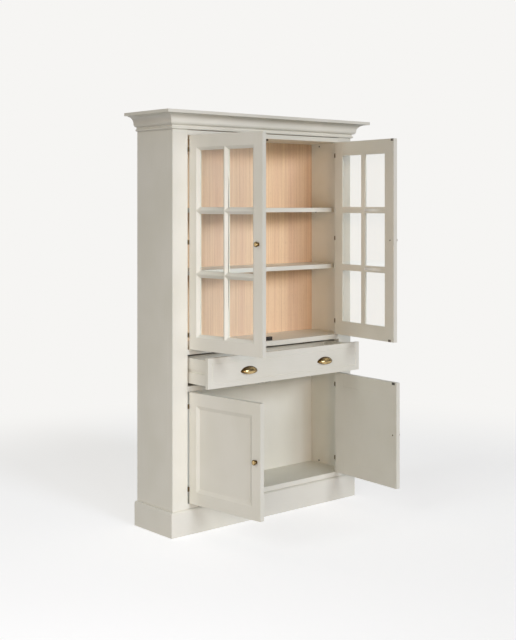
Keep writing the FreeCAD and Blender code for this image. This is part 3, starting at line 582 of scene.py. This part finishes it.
def slotted_head(name, radius, height):
    """The mesh of a pan-headed screw with a slot, its flat underside at the origin, facing +Z."""
    half_slot = radius * 0.14
    slot_depth = height * 0.4
    bm = bmesh.new()
    bmesh.ops.create_circle(bm, cap_ends=True, radius=radius, segments=20)
    top = bmesh.ops.extrude_face_region(bm, geom=bm.faces[:])
    bmesh.ops.translate(bm, vec=(0, 0, height), verts=parts_of(top["geom"], bmesh.types.BMVert))
    bmesh.ops.recalc_face_normals(bm, faces=bm.faces)
    rim = [e for e in bm.edges if all(v.co.z > height / 2 for v in e.verts)]
    bmesh.ops.bevel(bm, geom=rim, offset=height * 0.45, affect="EDGES", segments=2, profile=0.5, material=-1)
    for side in (-1, 1):
        bmesh.ops.bisect_plane(bm, geom=bm.verts[:] + bm.edges[:] + bm.faces[:],
                               plane_co=(side * half_slot, 0, 0), plane_no=(1, 0, 0))
    groove = [f for f in bm.faces if f.normal.z > 0.9 and abs(f.calc_center_median().x) < half_slot]
    sunk = bmesh.ops.extrude_face_region(bm, geom=groove)
    bmesh.ops.translate(bm, vec=(0, 0, -slot_depth), verts=parts_of(sunk["geom"], bmesh.types.BMVert))
    bmesh.ops.delete(bm, geom=groove, context="FACES_ONLY")
    mesh = bpy.data.meshes.new(name)
    bm.to_mesh(mesh)
    bm.free()
    return mesh


knob_screw = slotted_head("knob_screw", 0.0035, 0.0012)
for door in opened:
    bm = bmesh.new()
    wear_and_highlight = bm.verts.layers.float.new("wear_and_highlight")
    line = [bm.verts.new((radius / 1000, 0, reach / 1000)) for radius, reach in KNOB_PROFILE_MM]
    edges = [bm.edges.new(pair) for pair in zip(line, line[1:])]
    bmesh.ops.spin(bm, geom=line + edges, cent=(0, 0, 0), axis=(0, 0, 1), angle=2 * math.pi,
                   steps=KNOB_STEPS, use_merge=True)
    for vert in bm.verts:
        radius, reach = vert.co.xy.length * 1000, vert.co.z * 1000
        on_crown = reach > CROWN_FROM_MM
        on_rim = reach > RIM_FROM_MM and radius > RIM_INSIDE_MM
        on_rose = reach < ROSE_TOP_MM
        vert[wear_and_highlight] = on_crown * 0.75 + on_rim * 0.25 + on_rose * 0.3
    middle = (DOOR_FREE_EDGE - KNOB_FROM_EDGE, DOOR_FRONT, pins[door].z)
    place = on_door(door) @ Matrix.Translation(middle) @ Matrix.Rotation(math.radians(90), 4, "X")
    bmesh.ops.transform(bm, matrix=place, verts=bm.verts)
    inside = (DOOR_FREE_EDGE - KNOB_FROM_EDGE, DOOR_BACK, pins[door].z)
    set_in(bm, knob_screw, on_door(door) @ Matrix.Translation(inside) @ BACKWARDS)
    knob = fitting(f"{door}_turned_knob", bm, aged_brass, door)
    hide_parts(f"{door}_knob")

# Cup pulls: cast brass shells, open below, aged like the knobs, with a painted highlight on the crest. Each
# swells from one pointed ear to the other, has a narrow flange along the top and a thin turned-out lip below.
CUP_AT = 0.243
CUP_HALF = 0.048
CUP_REACH = 0.0215
CUP_OPENS_DEG = 27
CUP_WALL = 0.0015
CUP_FULLNESS = (2.3, 0.72)
CUP_SPANS = 32
CUP_STEPS = 20
LIP_GROWS = (1.0, 1.045, 1.045)
LIP_TURN_DEG = 2.0
FLANGE_GROWS = (1.05, 1.12, 1.12)
drawer_low, drawer_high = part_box("cup_pulls")
CUP_EAR_HEIGHT = drawer_low.z + 0.0082
bm = bmesh.new()
wear_and_highlight = bm.verts.layers.float.new("wear_and_highlight")
for hand in (-1, 1):
    one = bmesh.new()
    line = []
    for step in range(CUP_SPANS + 1):
        x = -CUP_HALF * math.cos(math.pi * step / CUP_SPANS)
        swell = (1 - abs(x / CUP_HALF) ** CUP_FULLNESS[0]) ** CUP_FULLNESS[1]
        line.append(one.verts.new((x, 0, CUP_REACH * swell)))
    edges = [one.edges.new(pair) for pair in zip(line, line[1:])]
    spun = bmesh.ops.spin(one, geom=line + edges, cent=(0, 0, 0), axis=(1, 0, 0),
                          angle=math.radians(90 + CUP_OPENS_DEG), steps=CUP_STEPS)
    lip_edges = parts_of(spun["geom_last"], bmesh.types.BMEdge)
    for found, grows, turn_deg in ((lip_edges, LIP_GROWS, LIP_TURN_DEG), (edges, FLANGE_GROWS, 0)):
        band = bmesh.ops.extrude_edge_only(one, edges=found)
        rim = parts_of(band["geom"], bmesh.types.BMVert)
        bmesh.ops.scale(one, vec=grows, verts=rim)
        turn = Matrix.Rotation(math.radians(turn_deg), 3, "X")
        bmesh.ops.rotate(one, cent=(0, 0, 0), matrix=turn, verts=rim)
    bmesh.ops.remove_doubles(one, verts=one.verts, dist=0.00001)
    bmesh.ops.recalc_face_normals(one, faces=one.faces)
    bmesh.ops.solidify(one, geom=one.faces[:], thickness=CUP_WALL)
    bmesh.ops.translate(one, vec=(hand * CUP_AT, drawer_high.y, CUP_EAR_HEIGHT), verts=one.verts)
    shell = bpy.data.meshes.new("cup_shell")
    one.to_mesh(shell)
    one.free()
    set_in(bm, shell, Matrix.Identity(4))
# Each vertex is brighter on the crest and in the middle, and darker towards the flange and the ears. This is
# partly wear where fingers touch, partly a painted highlight of the front lamps on the crest, and partly a
# painted dark reflection near the flange.
for vert in bm.verts:
    out_share = (drawer_high.y - vert.co.y) / CUP_REACH
    end_share = (abs(vert.co.x) - CUP_AT) / CUP_HALF
    vert[wear_and_highlight] = max(0.0, min(1.0, (out_share - 0.35) * 1.8)) * (1 - min(1.0, abs(end_share)) ** 3) * 0.9
pulls = fitting("domed_cup_pulls", bm, aged_brass, "drawer")
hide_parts("cup_pulls")

# Two small plated steel screws hold each strike plate to its door. Their heads are slotted
# and stand hardly proud of the plate, so that the catches clear them.
SCREW_RADIUS = 0.0019
SCREW_HEIGHT = 0.0007
SCREW_SPREAD = 0.006
STRIKE_FROM_END = 0.006
STRIKE_BACK = 0.02685
UPPER_STRIKES = (0.472, 0.4515)
LOWER_STRIKE = 0.4605
HINGE_INSET = 0.068
hinge_heights = set()
small_screw = slotted_head("small_screw", SCREW_RADIUS, SCREW_HEIGHT)
for door in opened:
    bm = bmesh.new()
    low, high = (corner.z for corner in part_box(f"{door}_meeting_stile"))
    hinge_heights |= {low + HINGE_INSET, high - HINGE_INSET}
    if "upper" in door:
        hinge_heights.add(pins[door].z)
        strikes = ((UPPER_STRIKES[0], high - STRIKE_FROM_END), (UPPER_STRIKES[1], low + STRIKE_FROM_END))
    else:
        strikes = ((LOWER_STRIKE, high - STRIKE_FROM_END),)
    spots = [(x + dx, STRIKE_BACK, z) for x, z in strikes for dx in (-SCREW_SPREAD, SCREW_SPREAD)]
    for spot in spots:
        set_in(bm, small_screw, on_door(door) @ Matrix.Translation(spot) @ BACKWARDS)
    fitting(f"{door}_screws", bm, plated_steel, door)

# The carcass has more such screws: two in the back end of each frame hinge leaf, and rows
# along the boards at the back. Each magnetic catch shows the ends of its two pole plates,
# given here by their place, height, width and distance from the catch's middle.
LEAF_FACE = 0.4848
LEAF_SCREW_Y = -0.122
BACK_FACE = 0.1494
BACK_SCREW_ROWS = (0.1305, 0.6855, 0.8535, 0.8655, 1.900)
BACK_SCREW_STEP = 0.175
CATCHES = ((0.0125, 1.885, 0.010, 0.0018), (0.033, 0.881, 0.016, 0.0040), (0.024, 0.668, 0.016, 0.0022))
POLE_AT = -0.1261
POLE_DEPTH = 0.0004
POLE_THICK = 0.0013
bm = bmesh.new()
for side in (-1, 1):
    inwards = Matrix.Rotation(math.radians(-90 * side), 4, "Y")
    for z in sorted(hinge_heights):
        for dz in (-SCREW_SPREAD, SCREW_SPREAD):
            leaf_spot = (side * LEAF_FACE, LEAF_SCREW_Y, z + dz)
            set_in(bm, small_screw, Matrix.Translation(leaf_spot) @ inwards)
    for x, z, width, apart in CATCHES:
        for rise in (-apart, apart):
            size = Matrix.Diagonal((width, POLE_DEPTH, POLE_THICK, 1))
            place = Matrix.Translation((side * x, POLE_AT, z + rise))
            bmesh.ops.create_cube(bm, size=1.0, matrix=place @ size)
for z in BACK_SCREW_ROWS:
    for step in range(-3, 4):
        set_in(bm, small_screw, Matrix.Translation((step * BACK_SCREW_STEP, BACK_FACE, z)) @ BACKWARDS)
fitting("carcass_fixings", bm, plated_steel, "carcass")

# Connectors let into the sides hold the boards. Each is covered by a round cap of the same
# dark plastic as the catches, which shows as a dark dot near the corner.
INNER_WALL = 0.550
CAP_RADIUS = 0.0045
CAP_TAPER = 0.9
CAP_PROUD = 0.0006
CAP_PLACES = ((0.077, 1.877), (0.079, 0.154))
bm = bmesh.new()
for side in (-1, 1):
    inwards = Matrix.Rotation(math.radians(-90 * side), 4, "Y")
    for y, z in CAP_PLACES:
        place = Matrix.Translation((side * (INNER_WALL - CAP_PROUD / 2), y, z))
        bmesh.ops.create_cone(bm, cap_ends=True, segments=24, radius1=CAP_RADIUS,
                              radius2=CAP_RADIUS * CAP_TAPER, depth=CAP_PROUD, matrix=place @ inwards)
fitting("connector_caps", bm, catch_plastic, "carcass")
